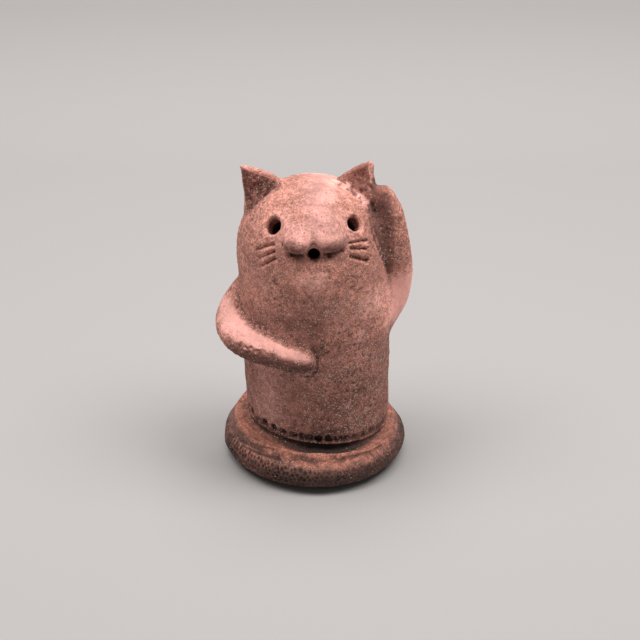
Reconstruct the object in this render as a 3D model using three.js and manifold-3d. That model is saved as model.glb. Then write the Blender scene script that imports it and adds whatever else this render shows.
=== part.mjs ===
// A small hand-built clay cat in the pose of a dancing haniwa: one arm raised beside the head,
// the other laid across the belly, on a round stepped base. It is hollow, with open eyes and mouth.
// Units are millimetres, +Z is up, the cat looks along -Y, and the origin is the middle of
// the underside.

import * as THREE from "three";
import { mergeVertices } from "three/addons/utils/BufferGeometryUtils.js";
import Module from "manifold-3d";

const wasm = await Module();
wasm.setup();

// Base: a thick slab with a soft edge, and a collar on it that the body is set into
const BASE_DIAMETER = 48.8;
const BASE_HEIGHT = 7.4; // the slab's upper edge
const BASE_EDGE_ROUND = 2.2;
const COLLAR_WIDTH = 2.6; // how far the collar stands out past the body's foot
const COLLAR_RISE = 3.4; // the collar's rim above the slab's upper edge
const COLLAR_RIM = 0.9;
const GROOVE_DEPTH = 1.6; // the gap between collar and body
const UNDERCUT = 1.3; // how far the gap reaches in under the body's punched edge
const CREST_OUT = 0.95; // how much further out the slab's upper edge stands at the front
const CREST_BEARING = 15; // the middle of that front part, in degrees
const SEAM_RISE = 2.5; // the punched seam above the collar's rim
const SLAB_TILT = 0.025; // rise towards the cat's right, per millimetre
const COLLAR_TILT = 0.06;
const SEAM_TILT = 0.09;
const TILT_START = 2.5; // below this height the base is level, so that it stands flat

// Body: an upright column that leans a little and closes in an oval dome
const FOOT_DIAMETER = 37.8;
const HEAD_DIAMETER = 39.6;
const CROWN_HEIGHT = 78.9;
const DOME_RISE = 18.2;
const FOOT_SHIFT = 0.9; // the foot stands this far right of the base's middle
const HEAD_SHIFT = -0.35;
const WALL = 5;
const FLOOR = 6.5;

// Holes and marks, each the width of the stick that made it
const EYE_DIAMETER = 4.4;
const MOUTH_DIAMETER = 3;
const WHISKER_WIDTH = 0.9;
const WHISKER_DEPTH = 0.75;
const PUNCH_PITCH = 3.1; // spacing of the punch marks around the seam
const PUNCH_WIDTH = 1.6;
const PUNCH_HEIGHT = 2;
const PUNCH_DEPTH = 1.1;

// Limbs and ears
const ARM_THICKNESS = 9.6;
const EAR_RISE_RIGHT_SIDE = 4.6; // tip of the cat's right ear above the crown
const EAR_RISE_LEFT_SIDE = 5.9;
const EAR_THICKNESS = 4.4; // at the middle of an ear
const EAR_ROOT = 2.4; // how far an ear is set into the head
const EAR_HOLLOW = 0.8;

// How finely round forms are divided
const BODY_SIDES = 52;
const LIMB_SIDES = 16;
const LIMB_STEPS = 18;
const LIMB_END_STEPS = 3;
const LIMB_FRAMES = 120;
const LUMP_SIDES = 14;
const HOLE_SIDES = 16;

// What the other sizes give
const SEAM_HEIGHT = BASE_HEIGHT + COLLAR_RISE + SEAM_RISE;
const DOME_START = CROWN_HEIGHT - DOME_RISE;
const FIGURE = CROWN_HEIGHT - SEAM_HEIGHT; // the figure's own height, which its carving shares
const HEAD_RADIUS = HEAD_DIAMETER / 2;
const FOOT_RADIUS = FOOT_DIAMETER / 2;

const degrees = THREE.MathUtils.degToRad;
const mix = THREE.MathUtils.lerp;

// Height above the table of a share of the figure's height, counted from the seam
const high = (share) => SEAM_HEIGHT + share * FIGURE;

// How far up the column a height is, from 0 at the seam to 1 where the dome starts
const columnShare = (z) =>
  THREE.MathUtils.clamp((z - SEAM_HEIGHT) / (DOME_START - SEAM_HEIGHT), 0, 1);
const columnMiddle = (z) => mix(FOOT_SHIFT, HEAD_SHIFT, columnShare(z));

// Radius of the body at a height, at a depth under its skin
function skinRadius(z, depth = 0) {
  if (z <= DOME_START) {
    return mix(FOOT_RADIUS, HEAD_RADIUS, columnShare(z)) - depth;
  }
  const up = (z - DOME_START) / (DOME_RISE - depth);
  return (HEAD_RADIUS - depth) * Math.sqrt(Math.max(0, 1 - up * up));
}

// A point at a distance from the body's own axis: bearing 0 is the front and 90 is +X
function aboutAxis(bearing, z, distance) {
  const a = degrees(bearing);
  return new THREE.Vector3(
    columnMiddle(z) + distance * Math.sin(a),
    -distance * Math.cos(a),
    z,
  );
}

// A point on the body's skin, or that far out from it
function onSkin(bearing, share, out = 0) {
  return aboutAxis(bearing, high(share), skinRadius(high(share)) + out);
}

// The direction straight out of the skin
function skinNormal(bearing, share) {
  const step = 0.01;
  const z = high(share);
  const spread = (skinRadius(z + step) - skinRadius(z - step)) / (2 * step);
  const a = degrees(bearing);
  return new THREE.Vector3(Math.sin(a), -Math.cos(a), -spread).normalize();
}

// A geometry's vertices moved by a function of their place
function reshape(geometry, move) {
  const place = geometry.attributes.position;
  const point = new THREE.Vector3();
  for (let i = 0; i < place.count; i += 1) {
    point.fromBufferAttribute(place, i);
    move(point);
    place.setXYZ(i, point.x, point.y, point.z);
  }
  return geometry;
}

// A closed geometry as a solid that can be joined and cut
function solid(geometry) {
  const bare = geometry.clone();
  bare.deleteAttribute("normal");
  bare.deleteAttribute("uv");
  const merged = mergeVertices(bare, 1e-4);
  const mesh = new wasm.Mesh({
    numProp: 3,
    vertProperties: merged.attributes.position.array,
    triVerts: new Uint32Array(merged.index.array),
  });
  return new wasm.Manifold(mesh);
}

// A profile of [radius, height] pairs turned about the Z axis
function turned(profile, sides) {
  const points = profile.map(([r, z]) => new THREE.Vector2(r, z));
  return new THREE.LatheGeometry(points, sides).rotateX(Math.PI / 2);
}

// The column and dome, from a lower end to the crown, at a depth under the skin
function column(lowerEnd, depth, sides, columnRings, domeRings) {
  const profile = [[0, lowerEnd]];
  for (let i = 0; i <= columnRings; i += 1) {
    const z = mix(lowerEnd, DOME_START, i / columnRings);
    profile.push([skinRadius(z, depth), z]);
  }
  for (let i = 1; i < domeRings; i += 1) {
    const a = (i / domeRings) * (Math.PI / 2);
    profile.push([
      (HEAD_RADIUS - depth) * Math.cos(a),
      DOME_START + (DOME_RISE - depth) * Math.sin(a),
    ]);
  }
  profile.push([0, CROWN_HEIGHT - depth]);
  return reshape(turned(profile, sides), (p) => {
    p.x += columnMiddle(p.z);
  });
}

// Slab and collar as one turned profile, whose upper faces then rise towards one side
function base() {
  const slab = BASE_DIAMETER / 2;
  const collar = FOOT_RADIUS + COLLAR_WIDTH;
  const rim = BASE_HEIGHT + COLLAR_RISE;
  const edge = BASE_EDGE_ROUND;
  const profile = [
    [0, 0],
    [slab - edge * 0.7, 0],
    [slab - edge * 0.32, BASE_HEIGHT * 0.07],
    [slab - edge * 0.09, BASE_HEIGHT * 0.2],
    [slab, BASE_HEIGHT * 0.46],
    [slab - edge * 0.12, BASE_HEIGHT * 0.74],
    [slab - edge * 0.5, BASE_HEIGHT * 0.97],
    [slab - edge, BASE_HEIGHT * 1.08],
    [collar + edge * 0.2, rim - COLLAR_RIM * 1.3],
    [collar - COLLAR_RIM * 0.25, rim - COLLAR_RIM * 0.2],
    [collar - COLLAR_RIM * 0.7, rim],
    [collar - COLLAR_RIM * 1.7, rim - GROOVE_DEPTH],
    [0, rim - GROOVE_DEPTH],
  ];
  const { smoothstep } = THREE.MathUtils;
  return reshape(turned(profile, BODY_SIDES), (p) => {
    const level = smoothstep(p.z, TILT_START, BASE_HEIGHT);
    const collarShare = smoothstep(p.z, BASE_HEIGHT, rim);
    const turn = Math.atan2(p.x, -p.y) - degrees(CREST_BEARING);
    const upperEdge = smoothstep(p.z, BASE_HEIGHT * 0.6, BASE_HEIGHT) * (1 - collarShare);
    const front = smoothstep(Math.cos(turn), 0.25, 0.85);
    const spread = 1 + (CREST_OUT * upperEdge * front) / slab;
    p.x *= spread;
    p.y *= spread;
    p.x += FOOT_SHIFT * 0.7 * collarShare;
    p.z -= level * mix(SLAB_TILT, COLLAR_TILT, collarShare) * p.x;
  });
}

// The ring cut away under the body's punched edge, where the gap to the collar is deepest
function undercut() {
  const low = BASE_HEIGHT + COLLAR_RISE - GROOVE_DEPTH * 0.8;
  const top = SEAM_HEIGHT - PUNCH_HEIGHT * 0.7;
  const outside = FOOT_RADIUS + COLLAR_RIM * 0.9;
  const profile = [
    [outside, low],
    [outside, top],
    [FOOT_RADIUS - UNDERCUT, mix(low, top, 0.6)],
    [outside, low],
  ];
  return reshape(turned(profile, BODY_SIDES / 2), (p) => {
    p.x += FOOT_SHIFT;
    p.z -= SEAM_TILT * p.x;
  });
}

// A roll of clay with a round far end: a turned profile of these radii, bent along a curve
function limb(points, radii) {
  const curve = new THREE.CatmullRomCurve3(points, false, "centripetal");
  const thickness = new THREE.SplineCurve(radii.map((r, i) => new THREE.Vector2(i, r)));
  const endRadius = radii[radii.length - 1];
  const endShare = endRadius / curve.getLength();
  const frames = curve.computeFrenetFrames(LIMB_FRAMES);
  const profile = [[0, 0]];
  for (let i = 0; i <= LIMB_STEPS; i += 1) {
    const t = i / LIMB_STEPS;
    profile.push([thickness.getPoint(t).y, t * (1 - endShare)]);
  }
  for (let i = 1; i <= LIMB_END_STEPS; i += 1) {
    const a = (i / LIMB_END_STEPS) * (Math.PI / 2);
    const r = i < LIMB_END_STEPS ? endRadius * Math.cos(a) : 0;
    profile.push([r, 1 - endShare + endShare * Math.sin(a)]);
  }
  return reshape(turned(profile, LIMB_SIDES), (p) => {
    const t = THREE.MathUtils.clamp(p.z, 0, 1);
    const frame = Math.round(t * LIMB_FRAMES);
    const across = frames.normals[frame].clone().multiplyScalar(p.x);
    const over = frames.binormals[frame].clone().multiplyScalar(p.y);
    p.copy(curve.getPointAt(t)).add(across).add(over);
  });
}

// An arm from places given as [bearing, share of height, distance out], where the distance
// from the column's side and each radius are shares of the arm's thickness
function arm(route, radii) {
  const points = route.map(([bearing, share, out]) => {
    const z = high(share);
    const side = skinRadius(Math.min(z, DOME_START));
    return aboutAxis(bearing, z, side + out * ARM_THICKNESS);
  });
  return limb(
    points,
    radii.map((r) => r * ARM_THICKNESS),
  );
}

// The cat's right arm hangs from the shoulder, bends at the elbow and lies across the belly
const bentArm = () =>
  arm(
    [
      [-96, 0.565, -0.65],
      [-93, 0.535, -0.27],
      [-90, 0.488, 0.05],
      [-83, 0.434, 0.24],
      [-71, 0.401, 0.28],
      [-56, 0.391, 0.2],
      [-39, 0.387, 0.12],
      [-21, 0.374, 0.1],
      [-0.5, 0.356, 0.1],
    ],
    [0.33, 0.39, 0.44, 0.5, 0.52, 0.5, 0.46, 0.42, 0.37],
  );

// The cat's left arm leaves the side low down and goes up beside the head
const raisedArm = () =>
  arm(
    [
      [89, 0.305, -0.7],
      [88, 0.393, -0.29],
      [86, 0.485, 0.07],
      [84, 0.575, 0.245],
      [82, 0.667, 0.28],
      [81, 0.767, 0.22],
      [82, 0.855, 0.09],
      [84, 0.932, -0.1],
      [86, 0.99, -0.27],
    ],
    [0.36, 0.46, 0.48, 0.46, 0.43, 0.42, 0.41, 0.38, 0.32],
  );

// An ear's face as a triangle: the frame has its origin at the foot on the left, its X along the
// feet, its Y towards the tip and its Z out of the face
function earFrame({ left, right, tip }) {
  const x = right.clone().sub(left);
  const width = x.length();
  x.normalize();
  const slope = tip.clone().sub(left);
  const z = x.clone().cross(slope).normalize();
  const y = z.clone().cross(x);
  return {
    width,
    peak: new THREE.Vector2(slope.dot(x), slope.dot(y)),
    matrix: new THREE.Matrix4().makeBasis(x, y, z).setPosition(left),
  };
}

// A pinched ear with soft edges, thicker towards its foot, which is set into the head
function ear(place) {
  const { width, peak, matrix } = earFrame(place);
  const round = EAR_THICKNESS * 0.2;
  const shape = new THREE.Shape();
  shape.moveTo(peak.x, peak.y);
  const [leftBow, rightBow] = place.bows;
  shape.quadraticCurveTo(peak.x / 2 + leftBow * width, peak.y / 2, 0, 0);
  shape.lineTo(width * 0.12, -EAR_ROOT);
  shape.lineTo(width * 0.88, -EAR_ROOT);
  shape.lineTo(width, 0);
  shape.quadraticCurveTo(
    (peak.x + width) / 2 + rightBow * width,
    peak.y * 0.55,
    peak.x,
    peak.y,
  );
  const depth = EAR_THICKNESS / 2 - 2 * round;
  const geometry = new THREE.ExtrudeGeometry(shape, {
    depth,
    bevelThickness: round,
    bevelSize: round,
    bevelOffset: -round,
    bevelSegments: 3,
    curveSegments: 8,
  });
  geometry.translate(0, 0, -depth - round);
  reshape(geometry, (p) => {
    p.z *= 1 + 1.3 * (1 - p.y / peak.y);
  });
  return geometry.applyMatrix4(matrix);
}

// The shallow dish in an ear's face
function earHollow(place) {
  const { width, peak, matrix } = earFrame(place);
  const geometry = new THREE.SphereGeometry(1, LUMP_SIDES, LUMP_SIDES / 2);
  geometry.scale(width * 0.33, peak.y * 0.38, EAR_HOLLOW * 1.6);
  geometry.translate((peak.x + width) / 3, peak.y * 0.38, EAR_HOLLOW * 0.6);
  return geometry.applyMatrix4(matrix);
}

// A lump on the skin: a ball stretched to half-sizes that are shares of the figure's height,
// its middle sunk under the skin by a share of its depth
function lump(bearing, share, [width, depth, height], sunk, lean = 0) {
  const geometry = new THREE.SphereGeometry(FIGURE, LUMP_SIDES, LUMP_SIDES / 2);
  geometry.rotateX(Math.PI / 2);
  geometry.scale(width, depth, height);
  geometry.rotateX(degrees(lean));
  geometry.rotateZ(degrees(bearing));
  const { x, y, z } = onSkin(bearing, share, -sunk * depth * FIGURE);
  return geometry.translate(x, y, z);
}

// A round hole poked straight through the wall, a little narrower inside
function hole(bearing, share, diameter) {
  const outward = skinNormal(bearing, share);
  const before = diameter * 1.5;
  const length = before + WALL + diameter / 2;
  const stick = new THREE.CylinderGeometry(diameter / 2, diameter * 0.42, length, HOLE_SIDES);
  stick.translate(0, before - length / 2, 0);
  stick.applyQuaternion(
    new THREE.Quaternion().setFromUnitVectors(new THREE.Vector3(0, 1, 0), outward),
  );
  const { x, y, z } = onSkin(bearing, share);
  return stick.translate(x, y, z);
}

// A short groove pressed into the skin between two places given as [bearing, share]
function scratch(from, to) {
  const start = onSkin(...from);
  const end = onSkin(...to);
  const geometry = new THREE.SphereGeometry(1, 10, 6);
  geometry.scale(start.distanceTo(end) / 2, WHISKER_DEPTH, WHISKER_WIDTH / 2);
  const along = end.clone().sub(start).normalize();
  const middle = start.clone().lerp(end, 0.5);
  const down = along
    .clone()
    .cross(skinNormal((from[0] + to[0]) / 2, (from[1] + to[1]) / 2))
    .normalize();
  const outward = down.clone().cross(along);
  geometry.applyMatrix4(new THREE.Matrix4().makeBasis(along, outward, down));
  return geometry.translate(middle.x, middle.y, middle.z);
}

// One punch mark: a small leaning wedge pushed into the seam from outside
function punch(bearing) {
  const tool = new THREE.CylinderGeometry(
    PUNCH_WIDTH * 0.36,
    PUNCH_WIDTH * 0.8,
    PUNCH_DEPTH * 3,
    6,
  );
  tool.scale(1, 1, PUNCH_HEIGHT / PUNCH_WIDTH);
  tool.rotateY(degrees(20));
  tool.translate(0, -FOOT_RADIUS - PUNCH_DEPTH / 2, 0);
  tool.rotateZ(degrees(bearing));
  return reshape(tool, (p) => {
    p.x += FOOT_SHIFT;
    p.z += SEAM_HEIGHT - SEAM_TILT * p.x;
  });
}

// The ears stand at the front corners of the crown. The bows bend their edges out (+X) or in.
const EARS = [
  {
    left: onSkin(-81, 0.868),
    right: onSkin(-110, 0.979),
    tip: new THREE.Vector3(
      -0.94 * HEAD_RADIUS,
      -0.05 * HEAD_RADIUS,
      CROWN_HEIGHT + EAR_RISE_RIGHT_SIDE,
    ),
    bows: [0.04, 0.12],
  },
  {
    left: onSkin(108, 0.989),
    right: onSkin(73, 0.893),
    tip: new THREE.Vector3(
      0.72 * HEAD_RADIUS,
      -0.05 * HEAD_RADIUS,
      CROWN_HEIGHT + EAR_RISE_LEFT_SIDE,
    ),
    bows: [-0.12, 0.01],
  },
];

// Two lobes of the muzzle and the bridge that joins them to the forehead
const MUZZLE = [
  lump(-12.5, 0.862, [0.072, 0.066, 0.06], 0.12),
  lump(13.5, 0.868, [0.072, 0.06, 0.056], 0.16),
  lump(0, 0.887, [0.125, 0.085, 0.088], 0.62, 22),
];

// Three whiskers on each cheek, from the muzzle outwards
const WHISKERS = [
  [[-33.7, 0.837], [-48.8, 0.795]],
  [[-31.8, 0.812], [-44.2, 0.769]],
  [[-30.4, 0.787], [-40.6, 0.744]],
  [[31.6, 0.844], [48.8, 0.833]],
  [[32.3, 0.824], [46.1, 0.803]],
  [[31, 0.794], [45.2, 0.757]],
];

// Clay smeared from the chest over the root of the raised arm
const shoulder = () => lump(64, 0.455, [0.085, 0.062, 0.135], 0.42);

function cat() {
  const lumps = [...MUZZLE, ...EARS.map(ear), bentArm(), raisedArm(), shoulder()];
  const cuts = [
    undercut(),
    ...EARS.map(earHollow),
    hole(-40.9, 0.892, EYE_DIAMETER),
    hole(43.9, 0.898, EYE_DIAMETER * 0.9),
    hole(0.9, 0.822, MOUTH_DIAMETER),
    ...WHISKERS.map((whisker) => scratch(...whisker)),
  ];
  const punches = Math.round((Math.PI * FOOT_DIAMETER) / PUNCH_PITCH);
  for (let i = 0; i < punches; i += 1) {
    cuts.push(punch((i * 360) / punches));
  }
  let clay = solid(base()).add(solid(column(BASE_HEIGHT / 2, 0, BODY_SIDES, 4, 10)));
  for (const part of lumps) {
    clay = clay.add(solid(part));
  }
  clay = clay.subtract(solid(column(FLOOR, WALL, BODY_SIDES / 2, 3, 6)));
  for (const cut of cuts) {
    clay = clay.subtract(solid(cut));
  }
  return clay;
}

// A solid's surface as a geometry that three.js draws
function surface(body) {
  const { vertProperties, triVerts } = body.getMesh();
  const geometry = new THREE.BufferGeometry();
  geometry.setAttribute("position", new THREE.BufferAttribute(vertProperties, 3));
  geometry.setIndex(new THREE.BufferAttribute(triVerts, 1));
  geometry.computeVertexNormals();
  return geometry;
}

const terracotta = new THREE.MeshStandardMaterial({
  color: 0xb27d70,
  roughness: 0.92,
  metalness: 0,
});

const group = new THREE.Group();
const haniwaCat = new THREE.Mesh(surface(cat()), terracotta);
haniwaCat.name = "haniwa_cat";
group.add(haniwaCat);

export default group;
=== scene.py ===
"""Looks of a small fired clay cat in the pose of a dancing haniwa, on a round stepped base.

The piece starts as a copy of the frame's solid. Its joins are rubbed together as wet clay is,
the tool marks are pressed into it, and zones painted on its vertices, painted light and shade
among them, steer one clay material.
"""

import math

import bmesh
import bpy
import numpy as np
from bpy.props import FloatProperty, FloatVectorProperty, IntProperty, PointerProperty
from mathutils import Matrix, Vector, noise


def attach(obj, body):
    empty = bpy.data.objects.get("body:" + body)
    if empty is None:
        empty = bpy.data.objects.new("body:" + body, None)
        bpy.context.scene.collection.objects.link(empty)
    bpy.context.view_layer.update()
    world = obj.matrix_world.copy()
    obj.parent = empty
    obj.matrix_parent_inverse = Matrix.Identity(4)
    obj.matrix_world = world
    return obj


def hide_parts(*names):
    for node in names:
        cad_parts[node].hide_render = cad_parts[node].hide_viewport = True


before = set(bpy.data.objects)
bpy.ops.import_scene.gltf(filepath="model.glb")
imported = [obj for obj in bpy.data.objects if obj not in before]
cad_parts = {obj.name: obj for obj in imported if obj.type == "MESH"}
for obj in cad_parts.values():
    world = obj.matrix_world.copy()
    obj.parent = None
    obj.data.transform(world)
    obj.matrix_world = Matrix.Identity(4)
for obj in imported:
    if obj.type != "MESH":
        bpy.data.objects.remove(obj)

bl_info = {
    "name": "Haniwa cat",
    "version": (1, 0, 0),
    "blender": (4, 5, 0),
    "location": "3D View > Sidebar > Haniwa cat",
    "description": "Builds a small clay cat and the plain table that it stands on",
    "category": "Object",
}

NODE = "haniwa_cat"
MM = 0.001

# The body's own form in millimetres: a leaning column that closes in a dome
FOOT_RADIUS = 18.9
HEAD_RADIUS = 19.8
FOOT_SHIFT = 0.9
HEAD_SHIFT = -0.35
SEAM = 13.3
SEAM_TILT = 0.09
DOME = 60.7
CROWN = 78.9
BASE_RADIUS = 24.4
COLLAR_RIM = 10.8
SLAB_TILT = 0.025
COLLAR_TILT = 0.06

# Holes through the wall: bearing in degrees, height and radius in millimetres
EYES = ((-40.9, 71.8, 2.2), (43.9, 72.2, 1.95))
MOUTH = (0.9, 67.2, 1.5)

# Whiskers, from the end beside the muzzle outwards: two places as bearing and height,
# then the width in millimetres and how deep each end is as a share of the full depth
WHISKERS = (
    ((-33.7, 68.2), (-48.8, 65.5), 0.7, 1.0, 0.45),
    ((-31.8, 66.6), (-44.2, 63.7), 0.7, 1.1, 0.35),
    ((-30.4, 64.9), (-40.6, 62.1), 0.7, 1.1, 0.3),
    ((31.6, 68.7), (48.8, 67.9), 0.5, 0.9, 0.85),
    ((32.3, 67.4), (46.1, 66.0), 0.68, 0.8, 1.0),
    ((31.0, 65.4), (45.2, 63.0), 0.8, 1.0, 1.25),
)

# The raised arm's flat inner side: the edge that meets the cheek, as points in millimetres,
# the depth of the crease along each stretch of it, then the heights at which its outer limit
# is given, and that limit in X
ARM_EDGE = (
    (19.0, -5.5, 54.1), (18.1, -7.2, 58.4), (17.2, -8.8, 62.1), (16.2, -9.3, 65.7),
    (15.1, -8.7, 68.6), (14.4, -6.0, 71.5), (14.4, -3.4, 74.0),
)
ARM_CREASE = (0.25, 0.4, 0.5, 0.5, 0.5, 0.4)
ARM_HEIGHTS = (54.0, 59.0, 64.0, 68.0, 72.0, 75.7, 78.5)
ARM_LIMITS = (19.6, 19.6, 19.8, 19.5, 19.0, 18.4, 17.7)

# The ridge along the raised arm and the pit below its elbow's bend, in millimetres
ARM_RIDGE = ((20.6, -6.6, 71.0), (21.0, -8.0, 64.0), (21.3, -8.4, 57.0))
ARM_PIT = (22.6, -7.6, 51.5)

# The blunt end of the other hand, as bearings and heights, the depth of the crease along each
# stretch, and the knuckle beside it
HAND_END = ((-2.0, 40.3), (0.9, 38.0), (0.9, 34.6), (-2.4, 32.4), (-9.0, 32.2))
HAND_CREASE = (0.2, 0.32, 0.28, 0.12)
KNUCKLE = (-3.2, 36.4, 2.0)

# Ears as the places of their tip, then of their two feet, in millimetres
LEFT_EAR = ((-18.6, -1.0, 83.5), (-19.0, -3.1, 70.2), (-8.3, 3.2, 77.5))
RIGHT_EAR = ((14.3, -1.0, 84.8), (6.8, 2.2, 78.2), (16.3, -5.1, 71.9))

# Creases of the muzzle: two ends as bearing, height and distance outside the body's skin,
# then width and depth in millimetres
MUZZLE_CREASES = (
    ((-24.0, 69.0, 0.6), (-17.0, 66.8, 0.3), 0.8, 0.7),
    ((-17.0, 66.7, 0.3), (-5.0, 66.6, 0.2), 0.95, 1.5),
    ((6.5, 66.8, 0.2), (14.0, 66.6, 0.2), 0.75, 0.9),
    ((14.0, 66.6, 0.2), (24.0, 67.3, 0.3), 0.7, 0.8),
    ((0.4, 69.6, 1.9), (-1.6, 67.8, 1.0), 0.75, 1.5),
)

# Pits of the muzzle's bridge and the brow: bearing, height, then width and depth in millimetres
PITS = (
    (-5.2, 74.2, 0.45, 0.35), (0.2, 73.8, 0.5, 0.4), (-2.6, 73.4, 0.4, 0.3),
    (-2.0, 74.8, 0.35, 0.3), (2.6, 74.3, 0.35, 0.25), (-51.2, 75.6, 0.8, 0.45),
    (51.4, 76.2, 0.7, 0.4), (-32.2, 77.5, 0.35, 0.3), (-32.9, 76.8, 0.4, 0.35),
)

# Scratches on the base's upper face: bearing and radius of both ends, then width and depth
SCRATCHES = (
    (-62, 22.6, -30, 21.9, 0.3, 0.3), (-55, 23.0, -24, 22.9, 0.25, 0.25),
    (-48, 21.4, -33, 21.2, 0.3, 0.25), (-22, 22.0, -5, 22.4, 0.4, 0.2),
    (20, 22.6, 52, 22.8, 0.35, 0.25), (35, 21.6, 60, 21.5, 0.3, 0.25),
)

# Passages of painted light and shade on the clay: bearing and height, the reach of each in degrees
# and millimetres, then how much lighter
PAINTED_LIGHT_PASSAGES = (
    (-3, 53.0, 16, 4.0, -0.06), (-2, 59.5, 20, 4.0, 0.5), (50, 50, 26, 10, 0.36),
    (-48, 52, 22, 9, 0.24), (-4, 23, 16, 9, -0.1), (34, 24, 20, 10, -0.08),
    (-46, 27, 16, 9, 0.13), (88, 48, 20, 8, 0.7), (8, 38, 16, 5, -0.02),
    (96, 66, 18, 10, 0.34), (28, 38, 30, 6, 0.14), (-22, 40, 14, 5, 0.08),
    (-60, 41, 40, 5, 0.38), (2, 67.5, 24, 1.6, -0.1),
    (-13, 66.6, 9, 1.0, -0.3), (15, 66.9, 9, 0.9, -0.25), (6, 76.4, 40, 2.6, -0.22),
    (-14, 69.0, 12, 2.2, -0.16), (15, 69.2, 12, 2.0, -0.14), (2, 4.0, 30, 3.5, -0.12),
)

# Seeds of the random draws, and where the net's rows of draws start again
PUNCH_SEED = 5
NET_SEED = 11
NET_ROWS = 64

# Deep inside the holes and the hollow the clay is painted nearly black, as painted shade
HOLLOW_SHADE = "0a0807"

# The table in metres: half its width, its front edge, where its low step starts and ends,
# the step's two bends, and how steep it gets
TABLE_HALF = 1.6
TABLE_FRONT = -1.2
STEP_START = 0.18
STEP_BEND = 0.07
STEP_SHOULDER = 0.03
STEP_SLOPE = math.radians(62)
STEP_PARTS = 20
TABLE_BACK = 1.6

# Lamps in metres: where each hangs, what it points at, and its size as a share of lamp_size
LAMPS = (
    ("right lamp", (0.29, -0.05, 0.58), (0, 0, 0.03), 1.0, "right_lamp"),
    ("left lamp", (-0.27, -0.05, 0.58), (0, 0, 0.03), 1.0, "left_lamp"),
    ("top lamp", (0, 0.14, 0.62), (0, 0.09, 0.0), 1.3, "top_lamp"),
)
LAMP_TINT = (1.0, 0.985, 0.97)
ROOM_TINT = (1.0, 0.99, 0.985, 1.0)


def linear(code):
    """A colour written as sRGB hex, as the linear values that shaders take."""
    parts = [int(code[i : i + 2], 16) / 255 for i in (0, 2, 4)]
    return tuple(p / 12.92 if p <= 0.04045 else ((p + 0.055) / 1.055) ** 2.4 for p in parts)


class HaniwaClay(bpy.types.PropertyGroup):
    """Sizes and colours of the clay piece."""

    grain: FloatProperty(
        name="Grain", description="Edge of the fine mesh's faces",
        default=0.0005, min=0.0003, max=0.002, precision=5, unit="LENGTH", subtype="DISTANCE",
    )
    most_faces: IntProperty(
        name="Most faces", description="Triangles that the finished piece may have",
        default=195000, min=20000, max=199000, subtype="UNSIGNED",
    )
    rubbing: IntProperty(
        name="Rubbing", description="Rounds of smoothing that blend one roll of clay into the next",
        default=22, min=0, max=80, subtype="UNSIGNED",
    )
    wobble: FloatProperty(
        name="Wobble", description="Height of the hand-made unevenness",
        default=0.00016, min=0.0, max=0.001, precision=5, unit="LENGTH", subtype="DISTANCE",
    )
    roughness_depth: FloatProperty(
        name="Torn clay", description="Depth of the torn surface on the ears and under the arm",
        default=0.00026, min=0.0, max=0.001, precision=5, unit="LENGTH", subtype="DISTANCE",
    )
    crust_depth: FloatProperty(
        name="Crust depth", description="Height of the burrs where sandy clay was wiped dry",
        default=0.00024, min=0.0, max=0.001, precision=5, unit="LENGTH", subtype="DISTANCE",
    )
    whisker_depth: FloatProperty(
        name="Whisker depth", description="Depth of the whisker grooves",
        default=0.0008, min=0.0, max=0.002, precision=5, unit="LENGTH", subtype="DISTANCE",
    )
    net_pitch: FloatProperty(
        name="Net pitch", description="Spacing of the net-like dents in the base's edge",
        default=0.00125, min=0.0005, max=0.004, precision=5, unit="LENGTH", subtype="DISTANCE",
    )
    net_depth: FloatProperty(
        name="Net depth", description="Depth of the net-like dents",
        default=0.0004, min=0.0, max=0.001, precision=5, unit="LENGTH", subtype="DISTANCE",
    )
    punches: IntProperty(
        name="Punch marks", description="How many marks go round the seam",
        default=38, min=1, max=80, subtype="UNSIGNED",
    )
    pink: FloatVectorProperty(
        name="Rubbed clay", description="Clay where it was rubbed smooth",
        default=linear("d0968c"), min=0, max=1, size=3, subtype="COLOR",
    )
    sand: FloatVectorProperty(
        name="Sandy clay", description="Clay where the grit shows",
        default=linear("ae7668"), min=0, max=1, size=3, subtype="COLOR",
    )
    torn: FloatVectorProperty(
        name="Torn clay colour", description="Clay that was left rough",
        default=linear("7c5046"), min=0, max=1, size=3, subtype="COLOR",
    )
    wash: FloatVectorProperty(
        name="Base wash", description="Dark wash over the base",
        default=linear("593d36"), min=0, max=1, size=3, subtype="COLOR",
    )
    worn: FloatVectorProperty(
        name="Worn edge", description="Ridges of the base where the wash is rubbed off",
        default=linear("a86c5a"), min=0, max=1, size=3, subtype="COLOR",
    )
    grit: FloatVectorProperty(
        name="Grit", description="Pale grains in the clay",
        default=linear("efd8c6"), min=0, max=1, size=3, subtype="COLOR",
    )


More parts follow.
